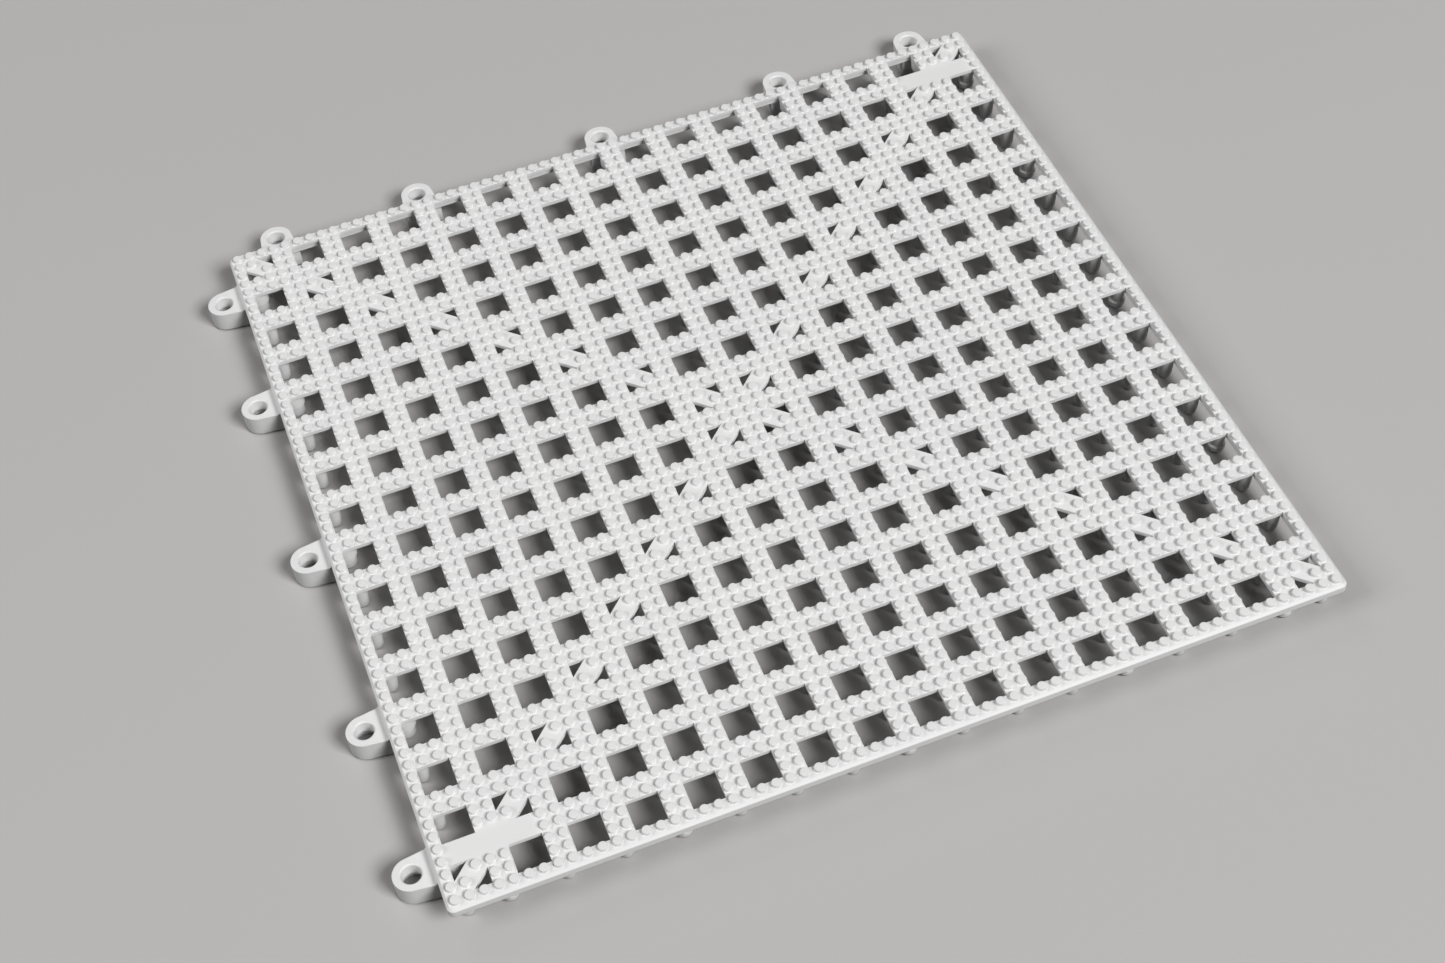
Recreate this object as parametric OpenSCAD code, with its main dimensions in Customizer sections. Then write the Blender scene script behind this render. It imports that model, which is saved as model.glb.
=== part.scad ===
// Interlocking drainage floor tile, one moulding in soft white PVC.
// A thin square deck has a grid of drain holes and a thick rim. It stands on short tapered
// legs, one under each crossing of its webs. Two edges carry loops and the other
// two carry pegs, so that the pegs of one tile press down into the loops of the next.
// The origin is on the floor under the middle of the deck, X runs along the near pegged
// edge, Y runs towards the looped far edge and Z is up.

/* [Grid] */
// Spacing of the drain holes
pitch = 18.9; // [17:0.1:24]
// Number of drain holes along each side
cells = 16; // [8:4:24]
// Side of a square drain hole
hole_side = 10.75; // [8:0.05:11.5]
// Width of the band that crosses each hole on the two diagonals
band_w = 7; // [4:0.1:9]

/* [Deck] */
// Height of the deck's upper face above the floor
deck_z = 12; // [11:0.1:18]
// Thickness of the deck
deck_t = 1.6; // [1.2:0.1:3]
// Plain margin outside the grid on every side
margin = 0.8; // [0.5:0.1:3]
// Radius of the deck's corners seen from above
corner_r = 2.4; // [1.5:0.1:4]
// Bevel of the deck's upper outer edge
edge_bevel = 0.8; // [0.3:0.1:1]
// Depth of the thick rim round the deck, from the upper face
rim_depth = 3.3; // [3.1:0.1:6]
// Width of the thick rim
rim_w = 4.6; // [2:0.1:4.8]

/* [Legs] */
// Radius of a leg under the deck
leg_r = 3.2; // [2.6:0.1:3.6]
// Radius of a leg just above its rounded foot
foot_r = 2.4; // [1.5:0.1:2.5]
// Radius of the flat that a leg stands on
foot_flat_r = 1.6; // [1:0.1:2]
// Height of the rounding of a foot
foot_h = 0.9; // [0.5:0.1:1.2]
// Distance of the outermost legs and pegs from the deck's outer edge
leg_inset = 6; // [5.5:0.1:6.3]

/* [Pegs] */
// Radius of a peg's head
peg_r = 3.1; // [2.8:0.1:3.4]
// Radius of a peg's neck
neck_r = 2.3; // [1.5:0.1:2.6]
// Height of the head's upper edge above the floor
head_z = 3.4; // [2.5:0.1:4]
// Height of the straight part of the head
head_land = 1.8; // [1:0.1:2]

/* [Loops] */
// Play of a peg's head in a loop, on the radius
peg_play = 0.2; // [0.1:0.05:0.5]
// Gap between two joined tiles
seam_gap = 0.8; // [0.5:0.1:2]
// Gap between a loop and the rim of the tile it locks under
lock_gap = 0.1; // [0.05:0.05:0.5]
// Thickness of a loop's wall
loop_wall = 2.7; // [2:0.1:3.5]
// Height of a loop's lower face above the floor
loop_foot_z = 0.8; // [0:0.1:2]
// Depth of the pocket under a loop that takes a peg's head, above the floor
pocket_z = 3.6; // [3:0.1:5]
// Width of the ledge between a loop's bore and its pocket
ledge_w = 1; // [0.5:0.1:1.5]
// Width of a loop's tab where it meets the rim
tab_w = 13.8; // [12:0.1:15]
// Reach of the tab under the rim
tab_root = 3.2; // [3:0.1:4]
// Radius of the boss round each leg that backs a loop
boss_r = 3.9; // [3.5:0.1:4.5]
// Height of the boss's lower face above the floor
boss_z = 5.2; // [3:0.1:8]
// Radius of the stout leg under a boss
stout_r = 3.2; // [2.9:0.1:3.4]
// Size of the wedge that braces a loop against the rim's outer face
brace = 0.7; // [0.3:0.1:0.7]

/* [Hidden] */
$fn = 48;
grid_half = cells * pitch / 2;
half = grid_half + margin;
deck_under_z = deck_z - deck_t;
// Legs and bosses run a little way up into the deck
root_z = deck_under_z + deck_t / 2;
rim_z = deck_z - rim_depth;
leg_line = half - leg_inset;
bore_r = peg_r + peg_play;
loop_r = bore_r + loop_wall;
loop_top_z = rim_z - lock_gap;
loop_out = leg_inset + seam_gap;
loop_line = half + loop_out;
// Small bevel round the mouth of a loop
loop_bevel = 0.4;
// Reach of a cut past the faces that it opens
over = 0.3;
// Crossings that carry a peg or a loop, counted from the corner of the grid
lock_crossings = [1, cells / 4, cells / 2, 3 * cells / 4, cells - 1];

// Place of a crossing along one side, where the outermost two stand in from the edge
function crossing(i) = i == 0 ? -leg_line : i == cells ? leg_line : i * pitch - grid_half;
function is_lock(i) = len(search(i, lock_crossings)) > 0;
function is_peg(i, j) = (j == 0 && is_lock(i)) || (i == cells && is_lock(j));
function is_loop_leg(i, j) = (i == 0 && is_lock(j)) || (j == cells && is_lock(i));

module drain_holes() {
    difference() {
        for (i = [0 : cells - 1], j = [0 : cells - 1])
            translate([(i + 0.5) * pitch - grid_half, (j + 0.5) * pitch - grid_half])
                square(hole_side, center = true);
        for (a = [45, -45])
            rotate(a)
                square([4 * half, band_w], center = true);
    }
}

module outline(inset) {
    side = 2 * (half - inset);
    r = corner_r - inset;
    square([side - 2 * r, side], center = true);
    square([side, side - 2 * r], center = true);
    for (x = [-1, 1], y = [-1, 1])
        translate([x * (side / 2 - r), y * (side / 2 - r)])
            circle(r);
}

module deck() {
    translate([0, 0, deck_under_z])
        linear_extrude(deck_t)
            difference() {
                outline(0);
                drain_holes();
            }
}

// Section that the edge bevel takes away, where the axis is that of a corner's rounding
module bevel_section() {
    polygon([
        [corner_r - edge_bevel - over, deck_z + over],
        [corner_r + over, deck_z - edge_bevel - over],
        [corner_r + over, deck_z + over],
    ]);
}

module edge_cut() {
    reach = half - corner_r;
    for (a = [0 : 90 : 270])
        rotate(a) {
            translate([reach, reach, 0])
                rotate_extrude(angle = 90)
                    bevel_section();
            translate([reach, reach, 0])
                rotate([90, 0, 0])
                    linear_extrude(2 * reach)
                        bevel_section();
        }
}

module rim() {
    translate([0, 0, rim_z])
        linear_extrude(rim_depth - deck_t / 2)
            difference() {
                outline(0);
                square(2 * (half - rim_w), center = true);
            }
}

// A leg, where low_r is its radius just above the rounded foot
module leg(low_r) {
    flat_r = low_r - foot_r + foot_flat_r;
    rotate_extrude()
        polygon([
            [0, 0],
            [flat_r, 0],
            [(flat_r + 2 * low_r) / 3, foot_h / 3],
            [low_r, foot_h],
            [leg_r, root_z],
            [0, root_z],
        ]);
}

module boss() {
    translate([0, 0, boss_z])
        cylinder(h = root_z - boss_z, r = boss_r);
}

module peg() {
    land_z = head_z - head_land;
    rotate_extrude()
        polygon([
            [0, 0],
            [foot_flat_r, 0],
            [(foot_flat_r + 2 * peg_r) / 3, land_z / 3],
            [peg_r, land_z],
            [peg_r, head_z],
            [neck_r, head_z + (peg_r - neck_r) / 2],
            [leg_r, rim_z],
            [leg_r, root_z],
            [0, root_z],
        ]);
}

module legs() {
    for (i = [0 : cells], j = [0 : cells])
        translate([crossing(i), crossing(j), 0]) {
            if (is_peg(i, j)) peg();
            else leg(is_loop_leg(i, j) ? stout_r : foot_r);
            if (is_loop_leg(i, j)) boss();
        }
}

// One loop on its tab, with the loop's centre at the origin and the tab along +X
module loop() {
    translate([0, 0, loop_foot_z])
        linear_extrude(loop_top_z - loop_foot_z) {
            circle(loop_r);
            polygon([
                [0, -loop_r],
                [loop_out, -tab_w / 2],
                [loop_out, tab_w / 2],
                [0, loop_r],
            ]);
        }
    translate([loop_out, -tab_w / 2, loop_foot_z])
        cube([tab_root, tab_w, rim_z + rim_depth / 2 - loop_foot_z]);
    translate([loop_out, tab_w / 2, loop_top_z])
        rotate([90, 0, 0])
            linear_extrude(tab_w)
                polygon([
                    [tab_root, -brace],
                    [-brace, -brace],
                    [-brace, 0],
                    [0, brace],
                    [tab_root, brace],
                ]);
}

module loop_bore() {
    cylinder(h = deck_z, r = bore_r);
    cylinder(h = pocket_z, r = bore_r + ledge_w);
    translate([0, 0, loop_top_z - loop_bevel])
        cylinder(h = 2 * loop_bevel, r1 = bore_r, r2 = bore_r + 2 * loop_bevel);
}

module at_loops() {
    for (i = lock_crossings) {
        translate([-loop_line, crossing(i), 0]) children();
        translate([crossing(i), loop_line, 0]) rotate(-90) children();
    }
}

module floor_tile() {
    color([0.88, 0.89, 0.9])
        difference() {
            union() {
                deck();
                rim();
                legs();
                at_loops() loop();
            }
            at_loops() loop_bore();
            edge_cut();
        }
}

floor_tile();
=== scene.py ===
import math

import bpy
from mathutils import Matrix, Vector


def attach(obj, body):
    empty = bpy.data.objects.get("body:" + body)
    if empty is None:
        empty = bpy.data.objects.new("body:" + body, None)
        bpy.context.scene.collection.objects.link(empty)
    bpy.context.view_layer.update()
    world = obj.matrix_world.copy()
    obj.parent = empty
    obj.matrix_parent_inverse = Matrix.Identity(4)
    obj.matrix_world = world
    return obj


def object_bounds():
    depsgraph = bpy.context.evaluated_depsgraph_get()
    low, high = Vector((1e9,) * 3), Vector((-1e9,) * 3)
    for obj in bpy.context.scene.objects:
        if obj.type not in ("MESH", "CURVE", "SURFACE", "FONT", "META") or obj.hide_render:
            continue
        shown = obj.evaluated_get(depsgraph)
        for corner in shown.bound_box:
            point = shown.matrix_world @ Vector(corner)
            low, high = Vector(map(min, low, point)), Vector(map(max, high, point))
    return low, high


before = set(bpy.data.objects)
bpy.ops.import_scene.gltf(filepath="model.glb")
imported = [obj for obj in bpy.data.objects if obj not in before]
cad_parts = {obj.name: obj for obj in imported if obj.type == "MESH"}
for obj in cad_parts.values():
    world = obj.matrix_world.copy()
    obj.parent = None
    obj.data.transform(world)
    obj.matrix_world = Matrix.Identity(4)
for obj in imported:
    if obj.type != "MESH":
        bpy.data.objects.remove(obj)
cad_low, cad_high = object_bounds()


# The tile
# One moulding in soft PVC: deck, rim, legs, pegs and loops come out of the mould together.
# White pigment makes it opaque, the tool's fine texture leaves it satin, and every edge is
# slightly rounded, as it is on any moulding.
MM = 0.001
PVC_WHITE = "#EAEAE9"
PVC_ROUGHNESS = 0.52
PVC_IOR = 1.53
FLOW_MARK_WHITE = "#E3E3E3"
FLOW_MARK_ROUGHNESS = 0.6
FLOW_MARK_SIZE = 45 * MM
FLOW_MARK_DETAIL = 3.0
FLOW_MARK_BREAKUP = 0.55
# The grain is drawn about four times as coarse as a real tool's, so that it shows at all
MOULD_GRAIN_SIZE = 0.45 * MM
MOULD_GRAIN_DEPTH = 0.02 * MM
MOULD_GRAIN_STRENGTH = 0.6
EDGE_ROUNDING = 0.3 * MM


def linear_colour(hex_code):
    channels = [int(hex_code[k:k + 2], 16) / 255 for k in (1, 3, 5)]
    return (*[c / 12.92 if c <= 0.04045 else ((c + 0.055) / 1.055) ** 2.4 for c in channels], 1)


def add_node(owner, kind, settings=None, links=None):
    """Adds one node. A setting is a property or the value of an input, and a link goes to an input."""
    node = owner.node_tree.nodes.new(kind)
    for name, value in (settings or {}).items():
        if isinstance(name, int) or name in node.inputs:
            node.inputs[name].default_value = value
        else:
            setattr(node, name, value)
    for name, socket in (links or {}).items():
        owner.node_tree.links.new(socket, node.inputs[name])
    return node


def new_material(name):
    material = bpy.data.materials.new(name)
    material.use_nodes = True
    material.node_tree.nodes.clear()
    return material


def soft_pvc_injection_moulded():
    material = new_material("soft_pvc_injection_moulded")
    place = add_node(material, "ShaderNodeTexCoord").outputs["Object"]
    flow_marks = add_node(
        material, "ShaderNodeTexNoise",
        {
            "Scale": 1 / FLOW_MARK_SIZE,
            "Detail": FLOW_MARK_DETAIL,
            "Roughness": FLOW_MARK_BREAKUP,
        },
        {"Vector": place},
    ).outputs["Fac"]
    colour = add_node(
        material, "ShaderNodeMix",
        {"data_type": "RGBA", 6: linear_colour(PVC_WHITE), 7: linear_colour(FLOW_MARK_WHITE)},
        {0: flow_marks},
    ).outputs[2]
    gloss = add_node(
        material, "ShaderNodeMapRange",
        {"To Min": PVC_ROUGHNESS, "To Max": FLOW_MARK_ROUGHNESS},
        {"Value": flow_marks},
    )
    grain = add_node(
        material, "ShaderNodeTexNoise",
        {"Scale": 1 / MOULD_GRAIN_SIZE},
        {"Vector": place},
    ).outputs["Fac"]
    rounded = add_node(material, "ShaderNodeBevel", {"Radius": EDGE_ROUNDING})
    surface = add_node(
        material, "ShaderNodeBump",
        {"Distance": MOULD_GRAIN_DEPTH, "Strength": MOULD_GRAIN_STRENGTH},
        {"Height": grain, "Normal": rounded.outputs["Normal"]},
    )
    shader = add_node(
        material, "ShaderNodeBsdfPrincipled",
        {"IOR": PVC_IOR},
        {
            "Base Color": colour,
            "Roughness": gloss.outputs["Result"],
            "Normal": surface.outputs["Normal"],
        },
    )
    add_node(material, "ShaderNodeOutputMaterial", links={"Surface": shader.outputs["BSDF"]})
    return material


soft_pvc = soft_pvc_injection_moulded()
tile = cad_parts["floor_tile"]
tile.data.materials.clear()
tile.data.materials.append(soft_pvc)


# The tread's studs
# Low round studs, moulded with the deck in the same soft PVC, stand all over it in rows of
# four to a cell. A stud has a slight draft and a rounded top edge. None stands over a drain
# hole, but those on the two diagonal bands do stand where the bands cross a hole.
CELLS = 16
STUDS_PER_CELL = 4
GRID_MARGIN = 0.8 * MM
STUD_HEIGHT = 1.35 * MM
STUD_SINK = 0.1 * MM
# Eleven sides keep all the studs together under 200,000 triangles
STUD_SIDES = 11
# A stud's edges that turn more than this stay crisp
CRISP_ANGLE = math.radians(60)
# Radius and height of each ring of a stud
STUD_PROFILE = [(1.7 * MM, -STUD_SINK), (1.61 * MM, 1.2 * MM), (1.47 * MM, STUD_HEIGHT)]
# A small plain patch by each of two opposite corners has no studs
BARE_COLUMNS = range(1, 7)
BARE_ROWS = (3, 4)

deck_half = cad_high.x
deck_top = cad_high.z
stud_row = CELLS * STUDS_PER_CELL
stud_pitch = 2 * (deck_half - GRID_MARGIN) / stud_row


def is_bare(i, j):
    opposite = (stud_row - 1 - i, stud_row - 1 - j)
    return any(a in BARE_COLUMNS and b in BARE_ROWS for a, b in ((i, j), opposite))


def is_over_hole(i, j):
    middle = range(1, STUDS_PER_CELL - 1)
    on_diagonal = i == j or i + j == stud_row - 1
    return i % STUDS_PER_CELL in middle and j % STUDS_PER_CELL in middle and not on_diagonal


def stud_places():
    for i in range(stud_row):
        for j in range(stud_row):
            if not is_bare(i, j) and not is_over_hole(i, j):
                yield (i + 0.5 - stud_row / 2) * stud_pitch, (j + 0.5 - stud_row / 2) * stud_pitch


def build_studs():
    points = []
    faces = []
    turns = [2 * math.pi * k / STUD_SIDES for k in range(STUD_SIDES)]
    for x, y in stud_places():
        first = len(points)
        for radius, height in STUD_PROFILE:
            points += [
                (x + radius * math.cos(a), y + radius * math.sin(a), deck_top + height)
                for a in turns
            ]
        for ring in range(len(STUD_PROFILE) - 1):
            low = first + ring * STUD_SIDES
            for k in range(STUD_SIDES):
                after = (k + 1) % STUD_SIDES
                faces.append((low + k, low + after, low + STUD_SIDES + after, low + STUD_SIDES + k))
        top = first + (len(STUD_PROFILE) - 1) * STUD_SIDES
        faces.append(tuple(top + k for k in range(STUD_SIDES)))
        faces.append(tuple(first + k for k in reversed(range(STUD_SIDES))))
    mesh = bpy.data.meshes.new("tread_studs")
    mesh.from_pydata(points, [], faces)
    mesh.shade_smooth()
    mesh.set_sharp_from_angle(angle=CRISP_ANGLE)
    piece = bpy.data.objects.new("tread_studs", mesh)
    bpy.context.scene.collection.objects.link(piece)
    flat_tops = piece.modifiers.new("flat_tops", "WEIGHTED_NORMAL")
    flat_tops.keep_sharp = True
    return piece


studs = build_studs()
studs.data.materials.append(soft_pvc)
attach(studs, "root")


# The floor
# A plain pale sheet of matt background paper, laid level. It is drawn pale, but throws
# little light back at the tile's underside, so the drain holes stay dark.
PAPER_SEEN = "#BDBBBA"
PAPER_BOUNCE = "#2A2828"
PAPER_SIZE = 6.0
# The paper's tooth is drawn coarser than its real fibres, so that it shows at all
PAPER_FIBRE = 0.6 * MM
PAPER_RELIEF = 0.03 * MM
PAPER_ROUGHNESS = 0.9
PAPER_SHEEN = 0.2


def seen_or_mirrored(owner):
    """Gives 1 where the camera or a reflection sees the surface, and 0 where it only throws light."""
    ray = add_node(owner, "ShaderNodeLightPath").outputs
    either = add_node(
        owner, "ShaderNodeMath",
        {"operation": "MAXIMUM"},
        {0: ray["Is Camera Ray"], 1: ray["Is Glossy Ray"]},
    )
    return either.outputs[0]


def matt_background_paper():
    material = new_material("matt_background_paper")
    colour = add_node(
        material, "ShaderNodeMix",
        {"data_type": "RGBA", 6: linear_colour(PAPER_BOUNCE), 7: linear_colour(PAPER_SEEN)},
        {0: seen_or_mirrored(material)},
    ).outputs[2]
    place = add_node(material, "ShaderNodeTexCoord").outputs["Object"]
    fibre = add_node(material, "ShaderNodeTexNoise", {"Scale": 1 / PAPER_FIBRE}, {"Vector": place})
    relief = add_node(
        material, "ShaderNodeBump",
        {"Distance": PAPER_RELIEF},
        {"Height": fibre.outputs["Fac"]},
    )
    shader = add_node(
        material, "ShaderNodeBsdfPrincipled",
        {"Roughness": PAPER_ROUGHNESS, "Specular IOR Level": PAPER_SHEEN},
        {"Base Color": colour, "Normal": relief.outputs["Normal"]},
    )
    add_node(material, "ShaderNodeOutputMaterial", links={"Surface": shader.outputs["BSDF"]})
    return material


reach = PAPER_SIZE / 2
paper_corners = [(-reach, -reach, 0), (reach, -reach, 0), (reach, reach, 0), (-reach, reach, 0)]
paper_mesh = bpy.data.meshes.new("floor")
paper_mesh.from_pydata(paper_corners, [], [(0, 1, 2, 3)])
floor = bpy.data.objects.new("floor", paper_mesh)
bpy.context.scene.collection.objects.link(floor)
floor.data.materials.append(matt_background_paper())


# Light and camera
# A wide soft box hangs high in front of the tile and to its right, so the studs' left sides
# are in shade. Weaker ones fill in from the left and from behind. The room is drawn pale
# where a low view looks past the paper, but adds only a dim even light.
SOFT_BOX_WIDTH = 2.2
ROOM_COLOUR = "#FAFAFA"
ROOM_SEEN = 0.42
ROOM_LIGHT = 0.03
# The camera stands where the photograph was taken from
CAMERA_PLACE = (-147.87 * MM, -515.19 * MM, 619.86 * MM)
CAMERA_TURN = (39.409, 4.563, -20.496)
FOCAL_LENGTH = 57.47
SENSOR_WIDTH = 36.0
NEAREST_SEEN = 10 * MM


def soft_box(name, place, power):
    light = bpy.data.lights.new(name, "AREA")
    light.shape = "SQUARE"
    light.size = SOFT_BOX_WIDTH
    light.energy = power
    lamp = bpy.data.objects.new(name, light)
    lamp.location = place
    lamp.rotation_euler = (-Vector(place)).to_track_quat("-Z", "Y").to_euler()
    bpy.context.scene.collection.objects.link(lamp)


soft_box("key_light", (2.1, -3.6, 3.9), 308)
soft_box("left_light", (-3.8, 0.2, 3.0), 86)
soft_box("back_light", (-1.2, 3.8, 3.0), 22)

world = bpy.data.worlds.new("studio_room")
world.use_nodes = True
world.node_tree.nodes.clear()
brightness = add_node(
    world, "ShaderNodeMath",
    {"operation": "MULTIPLY_ADD", 1: ROOM_SEEN, 2: ROOM_LIGHT},
    {0: seen_or_mirrored(world)},
)
room = add_node(
    world, "ShaderNodeBackground",
    {"Color": linear_colour(ROOM_COLOUR)},
    {"Strength": brightness.outputs[0]},
)
add_node(world, "ShaderNodeOutputWorld", links={"Surface": room.outputs["Background"]})
bpy.context.scene.world = world

camera_data = bpy.data.cameras.new("camera")
camera_data.sensor_width = SENSOR_WIDTH
camera_data.lens = FOCAL_LENGTH
camera_data.clip_start = NEAREST_SEEN
camera = bpy.data.objects.new("camera", camera_data)
camera.location = CAMERA_PLACE
camera.rotation_euler = [math.radians(a) for a in CAMERA_TURN]
bpy.context.scene.collection.objects.link(camera)
bpy.context.scene.camera = camera
bpy.context.scene.view_settings.view_transform = "Standard"
